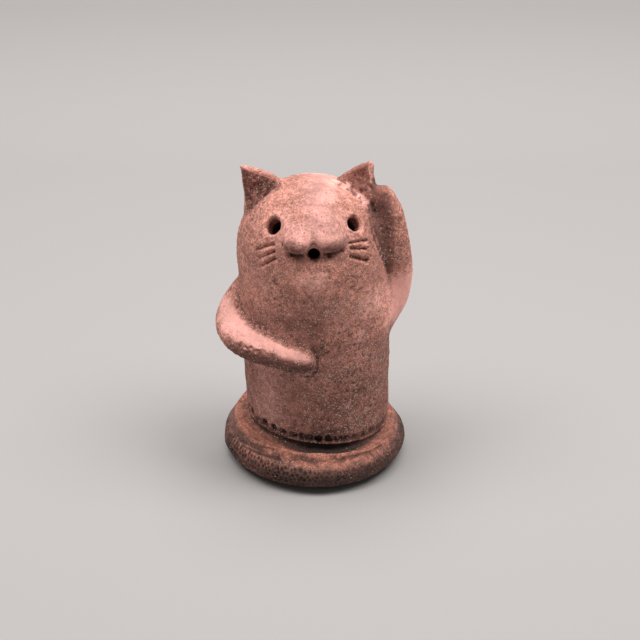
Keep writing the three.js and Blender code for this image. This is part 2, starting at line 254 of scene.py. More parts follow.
class HaniwaStage(bpy.types.PropertyGroup):
    """Sizes and colours of the table, the light and the camera."""

    distance: FloatProperty(
        name="Distance", description="From the camera to the point that it looks at",
        default=0.6, min=0.1, max=5, unit="LENGTH", subtype="DISTANCE",
    )
    elevation: FloatProperty(
        name="Elevation", description="How far the camera looks down",
        default=math.radians(28.5), min=0, max=1.5, unit="ROTATION", subtype="ANGLE",
    )
    aim: FloatVectorProperty(
        name="Aim", description="The point that the camera looks at",
        default=(0.00145, 0.0, 0.03845), size=3, precision=5, unit="LENGTH", subtype="XYZ",
    )
    lens: FloatProperty(
        name="Lens", description="Focal length in millimetres on a 36 mm sensor",
        default=128.25, min=10, max=400, unit="CAMERA", subtype="DISTANCE_CAMERA",
    )
    table: FloatVectorProperty(
        name="Table", description="The plain sheet under and behind the cat",
        default=linear("a3a09f"), min=0, max=1, size=3, subtype="COLOR",
    )
    lamp_size: FloatProperty(
        name="Lamp size", description="Edge of each soft lamp",
        default=0.32, min=0.05, max=3, unit="LENGTH", subtype="DISTANCE",
    )
    right_lamp: FloatProperty(
        name="Right lamp", description="Power of the lamp above on the right, in watts",
        default=2.45, min=0, max=500, unit="POWER", subtype="POWER",
    )
    left_lamp: FloatProperty(
        name="Left lamp", description="Power of the lamp above on the left, in watts",
        default=2.05, min=0, max=500, unit="POWER", subtype="POWER",
    )
    top_lamp: FloatProperty(
        name="Top lamp", description="Power of the lamp overhead, in watts",
        default=2.8, min=0, max=500, unit="POWER", subtype="POWER",
    )
    fill: FloatProperty(
        name="Fill", description="Strength of the even light from all around",
        default=0.2, min=0, max=5, subtype="FACTOR",
    )


def step(low, high, value):
    """0 below low, 1 above high, with a soft passage between; low may be the greater."""
    t = np.clip((value - low) / (high - low), 0, 1)
    return t * t * (3 - 2 * t)


def within(low, high, soft, value):
    """1 between low and high, fading to 0 over soft on each side."""
    return step(low - soft, low, value) * step(high + soft, high, value)


def bell(value):
    """1 at 0, falling off smoothly on both sides."""
    return np.exp(-value * value)


def middle(z):
    """The body's axis in X at a height."""
    return FOOT_SHIFT + (HEAD_SHIFT - FOOT_SHIFT) * np.clip((z - SEAM) / (DOME - SEAM), 0, 1)


def skin_radius(z):
    """The radius of the body's skin at a height."""
    rise = np.clip((z - SEAM) / (DOME - SEAM), 0, 1)
    straight = FOOT_RADIUS + (HEAD_RADIUS - FOOT_RADIUS) * rise
    up = np.clip((z - DOME) / (CROWN - DOME), 0, 1)
    return straight * np.sqrt(1 - up * up)


def on_skin(bearing, z, out=0.0):
    """The point of the body's skin at a bearing (0 is the front, 90 is +X) and a height."""
    a = math.radians(bearing)
    r = float(skin_radius(z)) + out
    return np.array([float(middle(z)) + r * math.sin(a), -r * math.cos(a), z])


def chart(co):
    """Bearing in degrees, height, and distance outside the body's skin, for each point."""
    x = co[:, 0] - middle(co[:, 2])
    bearing = np.degrees(np.arctan2(x, -co[:, 1]))
    return bearing, co[:, 2], np.hypot(x, co[:, 1]) - skin_radius(co[:, 2])


def wander(co, size, seed):
    """Smooth noise between about -1 and 1 whose waves are about size millimetres long."""
    moved = co / size + np.array([seed * 7.31, seed * 3.17, seed * 5.71])
    return np.array([noise.noise(p) for p in moved.tolist()])


def segment(co, start, end):
    """Distance from each point to a segment, and how far along the segment it lies."""
    line = end - start
    along = np.clip(((co - start) @ line) / (line @ line), 0, 1)
    return np.linalg.norm(co - start - along[:, None] * line, axis=1), along


def relax(co, edges, share, rounds):
    """Draws each point towards the mean of its neighbours by its share, round after round."""
    count = np.bincount(edges.ravel(), minlength=len(co))
    for _ in range(rounds):
        total = np.empty_like(co)
        for k in range(3):
            total[:, k] = np.bincount(edges[:, 0], co[edges[:, 1], k], len(co))
            total[:, k] += np.bincount(edges[:, 1], co[edges[:, 0], k], len(co))
        co = co + share[:, None] * (total / count[:, None] - co)
    return co


def read(mesh):
    """Points in millimetres, edges and vertex normals of a mesh."""
    co = np.empty(len(mesh.vertices) * 3)
    mesh.vertices.foreach_get("co", co)
    edges = np.empty(len(mesh.edges) * 2, dtype=np.int64)
    mesh.edges.foreach_get("vertices", edges)
    normals = np.empty(len(mesh.vertices) * 3)
    mesh.vertex_normals.foreach_get("vector", normals)
    return co.reshape(-1, 3) / MM, edges.reshape(-1, 2), normals.reshape(-1, 3)


def write(mesh, co):
    """Moves the mesh's points to these places in millimetres."""
    mesh.vertices.foreach_set("co", (co * MM).ravel())
    mesh.update()


def ear_share(co, ear, out=1.2):
    """How much each point belongs to an ear: 1 well above the feet, 0 on the head."""
    tip, left, right = (np.array(p) for p in ear)
    foot = (left + right) / 2
    rise = tip - foot
    height = (co - foot) @ rise / (rise @ rise)
    side = np.linalg.norm(co - foot - height[:, None] * rise, axis=1)
    return step(-0.12, 0.2, height) * step(np.linalg.norm(right - left) * 0.75, 4.0, side)


def ear_face(co, normals, ear):
    """The rough front face of an ear, inside its rubbed rim."""
    tip, left, right = (np.array(p) for p in ear)
    across = right - left
    face = np.cross(across, tip - left)
    face /= np.linalg.norm(face)
    if face[1] > 0:
        face = -face
    weights = []
    for a, b, c in ((left, right, tip), (right, tip, left), (tip, left, right)):
        inward = np.cross(face, b - a)
        inward /= np.linalg.norm(inward)
        if (c - a) @ inward < 0:
            inward = -inward
        weights.append((co - a) @ inward)
    front = step(-0.1, 0.35, normals @ face)
    near = step(5.0, 3.0, np.abs((co - left) @ face))
    return front * near, weights


def modified(mesh, kind, **settings):
    """The mesh as one modifier leaves it; the mesh that came in is deleted."""
    holder = bpy.data.objects.new("held", mesh)
    bpy.context.scene.collection.objects.link(holder)
    modifier = holder.modifiers.new("change", kind)
    for name, value in settings.items():
        setattr(modifier, name, value)
    shown = holder.evaluated_get(bpy.context.evaluated_depsgraph_get())
    changed = bpy.data.meshes.new_from_object(shown)
    bpy.data.objects.remove(holder)
    bpy.data.meshes.remove(mesh)
    return changed


class Clay:
    """The fine mesh of the piece while it is being worked."""

    def __init__(self, sizes):
        self.sizes = sizes
        self.mesh = self.fine_copy()

    def fine_copy(self):
        """The frame's solid with merged corners, as an even mesh of small faces."""
        start = bmesh.new()
        start.from_mesh(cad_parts[NODE].data)
        bmesh.ops.remove_doubles(start, verts=start.verts, dist=0.00001)
        rough = bpy.data.meshes.new("cat_rough")
        start.to_mesh(rough)
        start.free()
        even = {"mode": "VOXEL", "voxel_size": self.sizes.grain, "use_smooth_shade": True}
        return modified(rough, "REMESH", **even)

    def refine(self, wanted):
        """Halves the faces whose middles are wanted."""
        bm = bmesh.new()
        bm.from_mesh(self.mesh)
        middles = np.array([f.calc_center_median()[:] for f in bm.faces]) / MM
        keep = wanted(middles)
        edges = {e for f, k in zip(bm.faces, keep) if k for e in f.edges}
        bmesh.ops.subdivide_edges(bm, edges=list(edges), cuts=1, use_grid_fill=True)
        bm.to_mesh(self.mesh)
        bm.free()

    def rub(self):
        """Rubs the joins smooth, and keeps tips, rims of holes and the base's edges crisper."""
        co, edges, _ = read(self.mesh)
        bearing, z, out = chart(co)
        rounds = self.sizes.rubbing
        outside = out > -1
        share = np.full(len(co), 0.5)
        share *= 1 - 0.8 * step(80.5, 83.0, z)
        for b, h, r in (*EYES, MOUTH):
            near = np.linalg.norm(co - on_skin(b, h), axis=1)
            share *= 1 - 0.85 * step(r + 1.6, r + 0.6, near)
        share *= 1 - 0.75 * step(SEAM + 3.0, SEAM + 1.0, z)
        share *= 1 - 0.5 * within(-24, 24, 4, bearing) * within(66, 71.5, 1, z) * outside
        share *= np.where((out < -2) & (z > 8), 0.3, 1.0)
        co = relax(co, edges, share, rounds)

        # The arms, then the wiped clay from the cheek down to the raised arm's shoulder
        arms = share * step(0.8, 2.2, out) * within(28, 76, 3, z) * step(3, 14, np.abs(bearing))
        co = relax(co, edges, arms, rounds * 2)
        shoulder = within(48, 84, 8, bearing) * within(34, 51, 4, z) * outside
        cheek = 0.8 * within(58, 84, 5, bearing) * within(48, 68, 4, z) * outside
        co = relax(co, edges, 0.5 * np.maximum(shoulder, cheek), rounds * 5)

        # The bent arm's join with the body, then the groove beside the collar, not in front
        joint = within(-78, -6, 6, bearing) * within(34, 52, 3, z) * step(2.4, 1.2, out) * outside
        co = relax(co, edges, 0.4 * joint, rounds // 2)
        inner = np.hypot(co[:, 0] - FOOT_SHIFT, co[:, 1])
        ring = within(16.0, 21.4, 0.5, inner) * within(8.0, 12.8, 0.6, z)
        ring *= 1 - bell((bearing - 5) / 50)
        co = relax(co, edges, 0.5 * ring, rounds * 3)
        write(self.mesh, co)

    def open_holes(self):
        """Widens the eyes and the mouth to the stick that made them, with a soft outer rim."""
        co, _, _ = read(self.mesh)
        for b, h, r in (*EYES, MOUTH):
            rim = on_skin(b, h)
            outward = rim - on_skin(b, h, -1.0)
            slope = float(skin_radius(h - 0.5) - skin_radius(h + 0.5))
            outward[2] += slope
            outward /= np.linalg.norm(outward)
            along = (co - rim) @ outward
            side = co - rim - along[:, None] * outward
            away = np.linalg.norm(side, axis=1)
            grow = 0.32 * bell((away - r) / 0.8) * step(-5.5, -3.5, along) * (along < 4)
            grow += 0.22 * bell((away - r) / 0.7) * step(-0.9, 0.2, along) * (along < 4)
            co = co + side / np.maximum(away, 0.05)[:, None] * grow[:, None]
        write(self.mesh, co)

    def press(self, depth):
        """Moves each point inwards along its normal by its depth in millimetres."""
        co, _, normals = read(self.mesh)
        write(self.mesh, co - normals * depth[:, None])

    def whiskers(self):
        co, _, _ = read(self.mesh)
        full = self.sizes.whisker_depth / MM
        depth = np.zeros(len(co))
        for start, end, width, first, last in WHISKERS:
            away, along = segment(co, on_skin(*start), on_skin(*end))
            strength = first + (last - first) * along
            depth += full * strength * bell(away / (width * 0.72))
            depth -= 0.12 * strength * bell((away - width * 1.15) / 0.35)
        self.press(depth)

    def muzzle(self):
        """The crease under each lobe, the notch between them and the pits on the bridge."""
        co, _, _ = read(self.mesh)
        depth = np.zeros(len(co))
        for start, end, width, deep in MUZZLE_CREASES:
            away, _ = segment(co, on_skin(*start), on_skin(*end))
            depth += deep * bell(away / width)
        bearing, z, out = chart(co)
        front = step(-2.0, -0.5, out) * step(40, 30, np.abs(bearing))
        depth -= 0.4 * front * bell((np.abs(bearing) - 13) / 9) * bell((z - 69.2) / 1.7)
        depth += 0.3 * front * bell(bearing / 26) * bell((z - 65.4) / 1.2)
        for b, h, width, deep in PITS:
            spot = on_skin(b, h, 0.8)
            away = np.linalg.norm(co - spot, axis=1)
            depth += deep * bell(away / width) * (away < 4)
        self.press(depth)

    def body_swell(self):
        """The soft swelling under the mouth and the hollows beside it."""
        co, _, _ = read(self.mesh)
        bearing, z, out = chart(co)
        skin = step(3.0, 1.0, np.abs(out))
        arc = np.radians(bearing) * HEAD_RADIUS
        chin = bell((arc + 0.9) / 5.6) * bell((z - 60.0) / 2.6)
        under = bell((arc + 0.5) / 7.5) * bell((z - 54.2) / 3.2)
        self.press(skin * (0.35 * under - 0.55 * chin))

    def arms(self):
        """The crease between the raised arm and the head, the ridge along the arm and a pit,
        and the blunt end of the other hand."""
        co, _, _ = read(self.mesh)
        depth = np.zeros(len(co))
        for start, end, deep in zip(ARM_EDGE, ARM_EDGE[1:], ARM_CREASE):
            away, _ = segment(co, np.array(start), np.array(end))
            depth = np.maximum(depth, deep * bell(away / 1.0))
        for start, end in zip(ARM_RIDGE, ARM_RIDGE[1:]):
            away, _ = segment(co, np.array(start), np.array(end))
            depth -= 0.35 * bell(away / 1.1)
        for start, end, deep in zip(HAND_END, HAND_END[1:], HAND_CREASE):
            away, _ = segment(co, on_skin(*start), on_skin(*end))
            depth = np.maximum(depth, deep * bell(away / 0.7))
        depth -= 0.5 * bell(np.linalg.norm(co - on_skin(*KNUCKLE), axis=1) / 1.7)
        depth += 0.6 * bell(np.linalg.norm(co - np.array(ARM_PIT), axis=1) / 0.6)
        self.press(depth)

    def seam(self):
        """Punch marks round the seam, uneven in depth, with a thin bead of clay under them."""
        co, _, _ = read(self.mesh)
        x = co[:, 0] - FOOT_SHIFT
        bearing = np.degrees(np.arctan2(x, -co[:, 1]))
        level = SEAM - SEAM_TILT * co[:, 0]
        up = co[:, 2] - level
        closer = bearing + 9 * np.tanh((bearing - 4) / 26)
        arc = np.radians(closer) * FOOT_RADIUS
        skin = step(2.5, 1.2, np.abs(np.hypot(x, co[:, 1]) - FOOT_RADIUS))
        pitch = 2 * math.pi * FOOT_RADIUS / self.sizes.punches
        chance = np.random.default_rng(PUNCH_SEED)
        deep = chance.uniform(0.2, 0.9, self.sizes.punches)
        lift = chance.uniform(-0.35, 0.25, self.sizes.punches)
        number = np.round(arc / pitch).astype(int)
        offset = arc - number * pitch
        number %= self.sizes.punches
        square = np.power(np.abs(offset / 0.85), 4)
        square += np.power(np.abs((up - lift[number]) / 1.15), 4)
        depth = deep[number] * np.exp(-square)

        # Between the marks the front sinks, with a thin bead and then the undercut below it
        front = bell((bearing - 6) / 26)
        depth += 0.75 * front * bell((up + 0.1) / 0.75)
        depth -= 0.16 * bell((up + 1.35) / 0.3)
        depth += 0.7 * bell((up + 2.6) / 0.9) * (0.3 + 0.7 * bell((bearing - 5) / 50))
        self.press(skin * depth)

    def base_marks(self):
        """The net-like dents in the base's edge and the scratches on its upper face."""
        co, _, normals = read(self.mesh)
        bearing = np.degrees(np.arctan2(co[:, 0], -co[:, 1]))
        radius = np.hypot(co[:, 0], co[:, 1])
        z = co[:, 2] + SLAB_TILT * co[:, 0] * step(2.5, 7.4, co[:, 2])
        pitch = self.sizes.net_pitch / MM
        columns = int(2 * math.pi * BASE_RADIUS / pitch)
        across = bearing / 360 * columns
        chance = np.random.default_rng(NET_SEED)
        shift = chance.uniform(-0.3, 0.3, (NET_ROWS, columns + 2, 2))
        size = chance.uniform(0.45, 1.2, (NET_ROWS, columns + 2))
        nearest = np.full(len(co), 9.0)
        tall = (z + 0.35 * (radius - BASE_RADIUS)) / (pitch * 0.86)
        for row_step in (-1, 0, 1):
            row = np.round(tall).astype(int) + row_step
            stagger = 0.5 * (row % 2)
            column = np.round(across - stagger).astype(int)
            at = (row % NET_ROWS, column % columns)
            dx = across - stagger - column - shift[at][:, 0]
            dy = (tall - row - shift[at][:, 1]) * 0.86
            nearest = np.minimum(nearest, np.hypot(dx, dy) / size[at])
        edge = within(0.8, 7.0, 0.8, z) * step(BASE_RADIUS - 3.4, BASE_RADIUS - 1.6, radius)
        patchy = 0.65 + 0.5 * wander(co, 4.5, 3)
        side = 0.42 + 0.85 * bell((bearing + 44) / 36) + 0.25 * bell((bearing - 160) / 90)
        dents = np.exp(-np.power(nearest / 0.34, 2)) * edge * np.clip(patchy * side, 0.1, 1.3)
        depth = dents * self.sizes.net_depth / MM * 1.3
        top = within(7.4, 10.4, 0.8, co[:, 2]) * step(0.2, 0.6, normals[:, 2])
        for b0, r0, b1, r1, width, deep in SCRATCHES:
            along = np.clip((bearing - b0) / (b1 - b0), 0, 1)
            inside = within(min(b0, b1), max(b0, b1), 3, bearing)
            depth += top * inside * deep * bell((radius - r0 - (r1 - r0) * along) / width)
        depth += (radius > 20) * step(10.5, 9.0, co[:, 2]) * 0.12 * wander(co, 3.2, 8)

        # The raised crest at the front of the upper face, and the hollow behind it
        crest = bell((radius - 24.0) / 0.7) * bell((z - 7.5) / 0.75) * bell((bearing - 18) / 50)
        hollow = bell((radius - 22.9) / 0.8) * bell((z - 8.6) / 0.9) * bell((bearing - 5) / 50)
        depth += (0.22 * hollow - 0.3 * crest) * (1 + 0.4 * wander(co, 2.6, 9))
        self.press(depth)

        # The lower edge bulges to the front, and its lip is lifted off the table
        co, _, _ = read(self.mesh)
        radius = np.hypot(co[:, 0], co[:, 1])
        bulge = 1.2 * bell((bearing - 12) / 42) * step(19.4, 22.4, radius)
        bulge *= step(8.2, 5.6, co[:, 2])
        co[:, :2] *= 1 + (bulge / np.maximum(radius, 1))[:, None]
        co[:, 2] += 1.6 * step(19.4, 21.4, radius) * step(4.4, 0.9, co[:, 2])

        # Clay fills the groove beside the collar, except at the front
        inner = np.hypot(co[:, 0] - FOOT_SHIFT, co[:, 1])
        sides = 1 - bell((bearing - 5) / 55)
        level = COLLAR_RIM - COLLAR_TILT * co[:, 0]
        low = step(20.9, 20.4, inner) * (inner > 15) * step(level + 0.8, level - 0.2, co[:, 2])
        co[:, 2] += 0.75 * sides * low * np.clip(level - co[:, 2], 0, 2)
        write(self.mesh, co)

    def unevenness(self):
        """Wobble of the hand everywhere and torn clay where the surface was left rough."""
        co, _, _ = read(self.mesh)
        zones = self.zones()
        high = self.sizes.wobble / MM
        outer = 1 - zones["cavity"]
        depth = high * (wander(co, 7.5, 1) + 0.6 * wander(co, 3.4, 2)) * outer
        torn = zones["torn"] * outer * (1 - 0.6 * (co[:, 0] > 16) * (co[:, 2] > 40))
        rough = wander(co, 1.5, 4) + (0.35 + 0.45 * (co[:, 2] > 60)) * wander(co, 0.9, 6)
        depth += self.sizes.roughness_depth / MM * rough * torn
        bearing, z, _ = chart(co)
        crust = (1 - zones["rubbed"]) * (1 - zones["wash"]) * outer * step(13, 17, z)
        patch = 0.5 + 1.3 * wander(co, 7.0, 5)
        patch += 0.6 * bell((bearing - 42) / 34) * bell((z - 27) / 13)
        burrs = 0.7 * wander(co, 0.85, 10) - np.abs(wander(co, 1.6, 7))
        depth += self.sizes.crust_depth / MM * crust * np.clip(patch, 0.1, 1.3) * burrs
        calm = step(1.5, 4.0, co[:, 2])
        self.press(depth * calm)

    def zones(self):
        """Where the clay is rubbed, torn, washed dark or gritty, and where light and shade are
        painted, each from 0 to 1.
        """
        co, _, normals = read(self.mesh)
        bearing, z, out = chart(co)
        x, y = co[:, 0], co[:, 1]
        # Painted shade: the inside of the hollow and of the holes
        cavity = step(-3.4, -4.6, out) * (z > 6)

        # The rough faces of the ears and their rubbed rims, with painted light on the right ear's
        # face
        torn = np.zeros(len(co))
        rim = np.zeros(len(co))
        dark = np.zeros(len(co))
        painted_ear_light = np.zeros(len(co))
        for ear, deep in ((LEFT_EAR, 1.0), (RIGHT_EAR, 0.12)):
            front, weights = ear_face(co, normals, ear)
            inside = step(0.3, 1.1, weights[1]) * step(0.3, 1.1, weights[2])
            inside *= step(-1.5, 0.3, weights[0])
            torn = np.maximum(torn, front * inside)
            dark = np.maximum(dark, deep * front * inside)
            painted_ear_light = np.maximum(painted_ear_light, 0.95 * (1 - deep) * front * inside)
            rim = np.maximum(rim, (1.1 - 0.7 * deep) * ear_share(co, ear) * (1 - front * inside))

        # The bent arm, rough and dark on its underside
        bent = step(1.0, 2.6, out) * within(26, 46, 2, z) * within(-125, 8, 4, bearing)
        lower = step(0.8, 0.0, normals[:, 2] + 0.2 * wander(co, 2.6, 12))
        front_arm = step(-72, -52, bearing)
        ragged = step(0.35, -0.15, normals[:, 2] + 0.2 * wander(co, 2.6, 12))
        torn = np.maximum(torn, 0.15 * bent * ragged * front_arm)
        dark = np.maximum(dark, 0.85 * bent * lower * front_arm)

        # The raised arm: sandy above its elbow, and dark on the flat side towards the cheek, partly
        # dark clay and partly painted shade
        raised = step(0.8, 2.4, out) * step(28, 34, z) * within(50, 130, 8, bearing)
        upper = step(52, 58, z + 1.5 * wander(co, 5.0, 13))
        torn = np.maximum(torn, 0.5 * raised * upper)
        inner = step(0.45, -0.3, normals[:, 0]) * raised * step(50, 59, z)
        beyond = x - np.interp(z, [p[2] for p in ARM_EDGE], [p[0] for p in ARM_EDGE])
        short = np.interp(z, ARM_HEIGHTS, ARM_LIMITS) - x
        facet = step(-0.4, 0.4, beyond) * step(-2.2, 0.3, short)
        facet *= within(57, 78.6, 3, z) * (y < 0)
        dark = np.maximum(dark, np.maximum(0.8 * inner, 0.95 * facet))
        # Painted shade on the flat side of the raised arm and under the bent arm
        shade = 0.42 * facet * step(-0.6, 1.2, short)
        shade = np.maximum(shade, 0.3 * bent * step(0.1, -0.4, normals[:, 2]) * front_arm)
        dark = np.maximum(dark, 0.12 * raised * upper)

        # Painted shade along the seam in front, under the body's overhang, and the wash over
        # everything below it
        seam_shade = bell((bearing - 9) / 19) * bell((z - 15.0) / 1.5) * step(2.0, 1.0, np.abs(out))
        seam_shade *= 0.85 + 0.6 * wander(co, 1.8, 16)
        wash = step(15.2, 12.4, z + SEAM_TILT * x + 0.7 * wander(co, 4.0, 14))

        # Rubbed places: both arms, the shoulder and the rims of the ears; the lighter clay on the
        # chin and the flank is painted light
        elbow = raised * (1 - upper) * step(-0.9, -0.3, normals[:, 2])
        rubbed = np.maximum(bent * (1 - lower), elbow)
        shoulder = bell((bearing - 80) / 17) * bell((z - 49) / 7.5) * (out > -1)
        rubbed = np.maximum(rubbed, 0.95 * shoulder)
        rubbed = np.maximum(rubbed, 0.9 * rim)
        rubbed = np.maximum(rubbed, 0.6 * bell((bearing + 1) / 15) * bell((z - 59.5) / 3.4))
        rubbed = np.maximum(rubbed, 0.4 * bell((bearing - 52) / 22) * bell((z - 51) / 8))

        # The rubbed face, its sandier lobes beside the mouth, and the crown's middle strip
        face = 0.8 * bell((bearing - 4) / 42) * step(63, 71, z + 2 * wander(co, 6.0, 15))
        lobes = bell((np.abs(bearing - 0.5) - 13) / 10) * bell((z - 68.3) / 2.3)
        face *= 1 - 0.9 * lobes
        face *= 1 - step(73.5, 76.5, z) * (1 - bell((x - 2) / 5))
        dark = np.maximum(dark, 0.8 * lobes * (0.7 + wander(co, 2.0, 18)))
        face *= step(78.6, 76.6, z)
        crown = step(74.5, 77.5, z) * (0.1 + 0.9 * bell((x - 2) / 5))
        rubbed = np.maximum(rubbed, step(1.5, -0.5, np.abs(out) - 6) * np.maximum(face, crown))
        lower_left = bell((bearing + 42) / 26) * within(15, 34, 5, z) * (1 - bent)
        rubbed = np.maximum(rubbed, 0.45 * lower_left)
        grit = within(14, 62, 4, z) * (0.45 + 0.55 * bell((bearing - 42) / 38))
        grit *= 1 - 0.7 * rubbed

        # Painted shade in the gap round the collar in front, and the base's upper face, lighter
        # where the wash wears off and as painted light on faces that point up
        radius = np.hypot(x - FOOT_SHIFT, y)
        gap = step(20.6, 19.9, radius) * within(8.8, 11.9, 0.5, z + SEAM_TILT * x)
        gap = np.maximum(gap * bell((bearing - 5) / 40), np.maximum(0.95 * seam_shade, shade))
        sides = 1 - bell((bearing - 5) / 45)
        top = step(0.2, 0.5, normals[:, 2])
        top *= within(7.6, 10.6, 0.8, z + COLLAR_TILT * x - 1.8 * sides)
        top *= step(19.8, 20.6, radius + 2.2 * sides)
        # The right ear's face is made lighter here as painted light
        light = np.maximum(rubbed * (1 - torn), painted_ear_light)
        return {
            "rubbed": np.clip(light, 0, 1) * (1 - wash),
            "torn": np.clip(torn, 0, 1),
            "dark": np.clip(dark, 0, 1),
            "wash": np.clip(wash, 0, 1),
            "grit": np.clip(grit, 0, 1),
            "cavity": np.clip(cavity, 0, 1),
            "gap": np.clip(gap, 0, 1),
            "top": top,
        }

    def tone(self):
        """Painted light and shade in broad lighter and darker passages, with some random tone of
        the fired clay, 0.5 where there is none.
        """
        co, _, normals = read(self.mesh)
        bearing, z, out = chart(co)
        # Painted light: lighter higher up, darker lower down
        tone = 0.22 * (step(34, 60, z) - 0.4)
        above_arm = within(40, 48, 3, z) * within(-62, 2, 10, bearing)
        tone -= 0.2 * step(2.0, 0.8, out) * above_arm
        # Painted light on the right ear's face
        lit, _ = ear_face(co, normals, RIGHT_EAR)
        tone += 0.45 * lit * ear_share(co, RIGHT_EAR) ** 2
        ears = np.maximum(ear_share(co, RIGHT_EAR), ear_share(co, LEFT_EAR))
        tone -= 0.26 * step(77.0, 79.0, z) * (1 - ears)
        for b, h, wide, tall, more in PAINTED_LIGHT_PASSAGES:
            tone += more * bell((bearing - b) / wide) * bell((z - h) / tall)
        tone += 0.14 * wander(co, 6.5, 21) + 0.15 * wander(co, 2.4, 22)
        # Darker on the base's edge, painted shade under its lip, and painted light on its upper
        # face
        tone -= 0.25 * step(7.6, 6.0, z) + 0.15 * step(2.6, 1.4, z)
        tone += 0.2 * within(8, 11, 0.8, z)
        return np.clip(0.5 + tone, 0, 1)

    def wear(self):
        """Ridges above 0.5 and grooves below it, from how the skin bends over a few faces: the wash
        wears off the ridges, and the grooves get painted shade.
        """
        co, edges, normals = read(self.mesh)
        flat = relax(co, edges, np.full(len(co), 0.5), 5)
        bend = np.einsum("ij,ij->i", co - flat, normals)
        wear = np.clip(0.5 + bend / 0.16, 0, 1)
        # Less painted shade in the groove beside the collar, away from the front
        bearing = np.degrees(np.arctan2(co[:, 0], -co[:, 1]))
        collar = (co[:, 2] < 12.6) * (co[:, 2] > 8.4) * (1 - bell((bearing - 5) / 45))
        return np.maximum(wear, 0.44 * collar)

    def paint(self):
        layers = {**self.zones(), "wear": self.wear(), "tone": self.tone()}
        for name, value in layers.items():
            layer = self.mesh.attributes.new(name, "FLOAT", "POINT")
            layer.data.foreach_set("value", value.astype(np.float32))

    def thin(self):
        """Joins the smallest faces where the clay is flat, down to the wanted number."""
        triangles = sum(len(face.vertices) - 2 for face in self.mesh.polygons)
        share = min(1.0, self.sizes.most_faces / triangles)
        self.mesh = modified(self.mesh, "DECIMATE", ratio=share)


def add(tree, kind, inputs=None, out=0, **settings):
    """Adds one node with its settings and gives one of its outputs.

    Inputs are values, or sockets to be linked. Those of a colour mix are 0 for the share, 6 and
    7 for the two colours, and 2 is its result; a range has its value at 0, then its four ends.
    """
    node = tree.nodes.new(kind)
    for name, value in settings.items():
        setattr(node, name, value)
    for key, value in (inputs or {}).items():
        socket = node.inputs[key]
        if isinstance(value, bpy.types.NodeSocket):
            tree.links.new(value, socket)
        else:
            socket.default_value = value
    return node.outputs[out] if node.outputs else None


